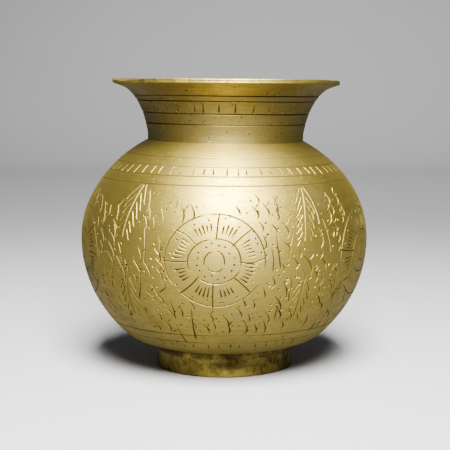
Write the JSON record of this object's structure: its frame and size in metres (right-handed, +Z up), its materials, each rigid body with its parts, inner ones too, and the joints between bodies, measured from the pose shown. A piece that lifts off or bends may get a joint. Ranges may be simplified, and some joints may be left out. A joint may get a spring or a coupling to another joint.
{
  "type": "lota water pot",
  "caption": "Round-bellied brass water pot with a flared neck, a thick lip, a ring foot and engraved bands of medallions and leaf sprays.",
  "frame": {"origin": "on the pot's axis, on the plane that the foot ring stands on", "axes": "+Z up along the pot's axis; -Y is the front, where one medallion faces"},
  "size_m": [0.125, 0.125, 0.1258],
  "materials": {
    "engraved_brass": "aged satin brass with engraved cuts darkened by tarnish",
    "turned_brass": "aged satin brass with fine lathe lines",
    "foot_brass": "brown tarnished brass, worn bright on its edges",
    "spelter": "rough yellow brazing spelter"
  },
  "bodies": {
    "root": {"shoulder_shell": "engraved_brass", "bowl_shell": "engraved_brass", "neck": "turned_brass", "foot_ring": "foot_brass", "belly_spelter": "spelter", "neck_spelter": "spelter", "foot_spelter": "spelter"}
  },
  "joints": []
}
